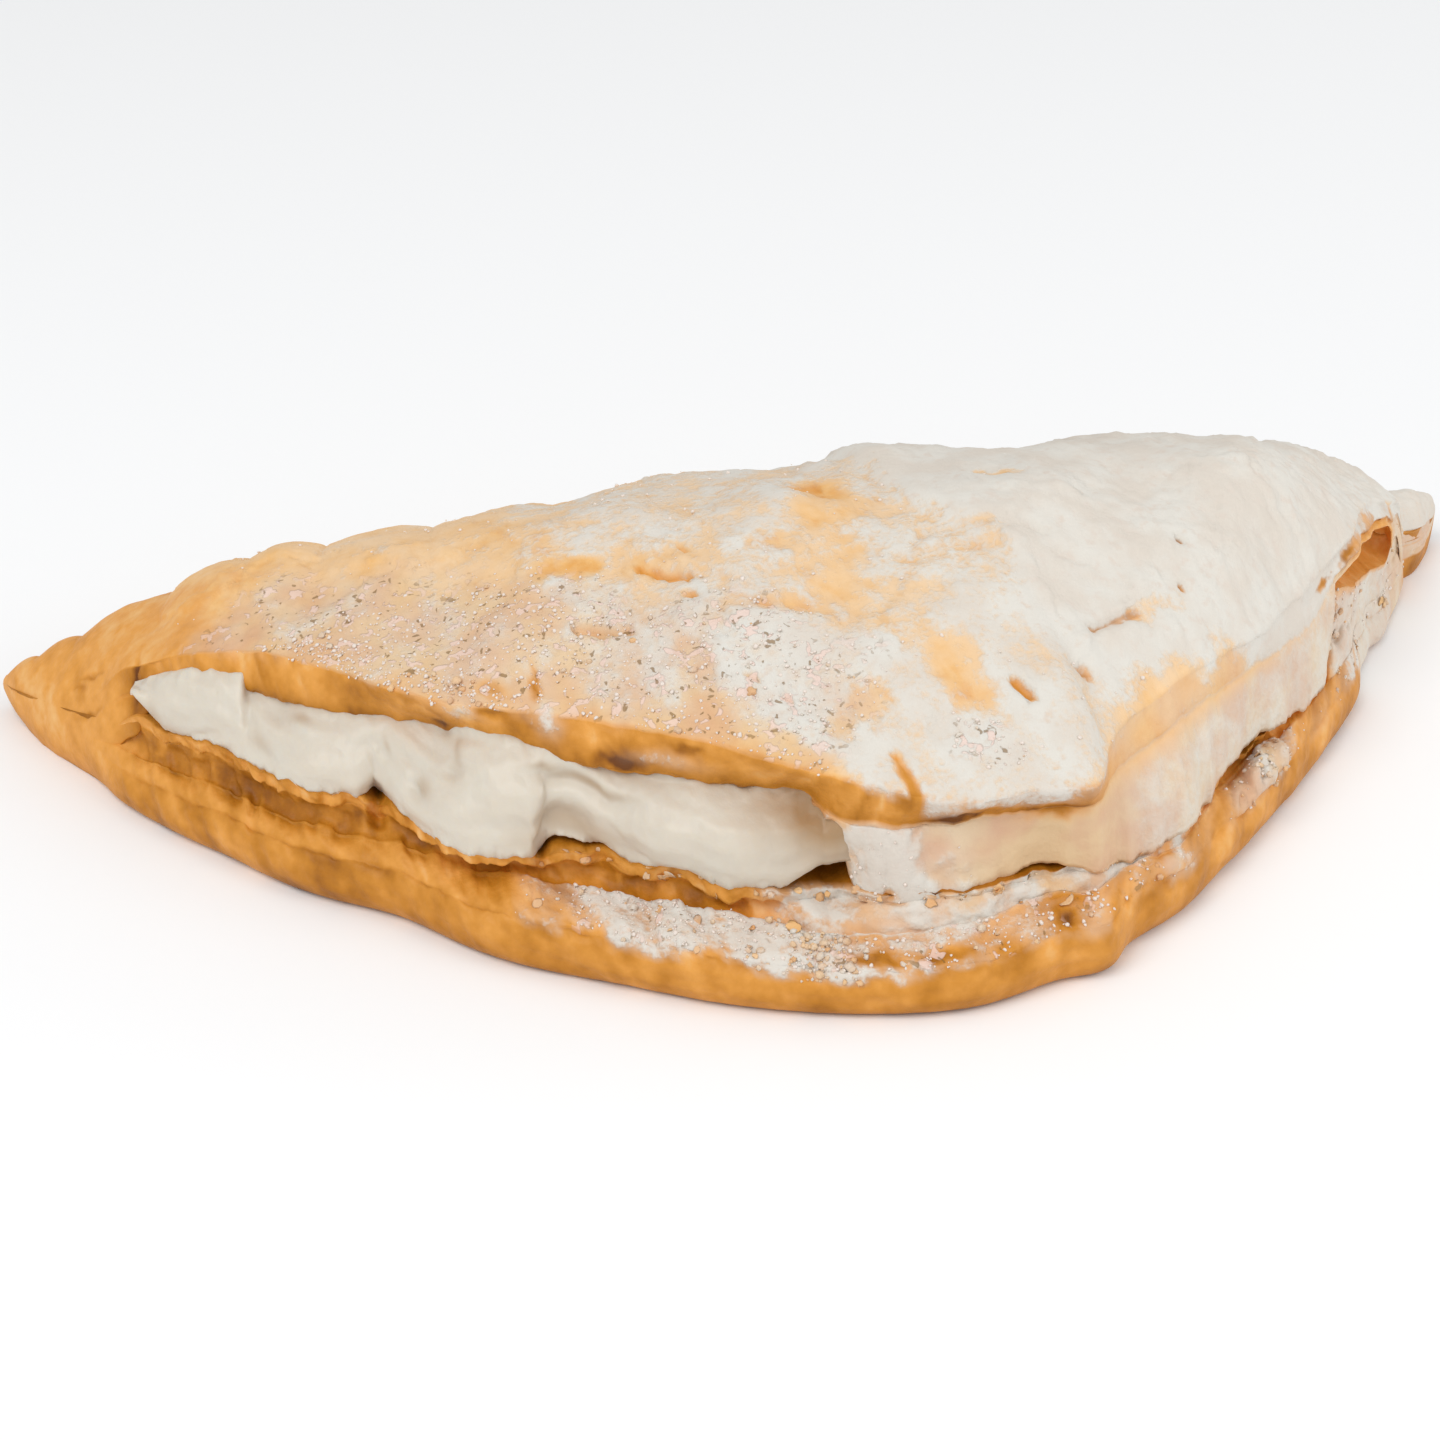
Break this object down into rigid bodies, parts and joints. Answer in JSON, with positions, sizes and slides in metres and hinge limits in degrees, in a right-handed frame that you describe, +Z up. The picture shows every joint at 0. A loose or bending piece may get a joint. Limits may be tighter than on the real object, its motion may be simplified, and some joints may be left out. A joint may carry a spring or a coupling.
{
  "type": "turnover pastry",
  "caption": "Triangular folded turnover of puff pastry, risen and split open along one front edge, filled with whipped cream and dusted with icing sugar.",
  "frame": {"origin": "middle of the bounding box's underside, on the surface the pastry lies on", "axes": "+X along the fold towards the right tip, +Y from the front corner towards the fold, +Z up"},
  "size_m": [0.165, 0.084, 0.0337],
  "materials": {
    "pastry": "baked puff pastry, golden brown, dusted with icing sugar",
    "cream": "whipped cream, soft satin",
    "sugar": "icing sugar, powdery matt white"
  },
  "bodies": {
    "root": {"pastry": "pastry", "cream": "cream"}
  },
  "joints": []
}
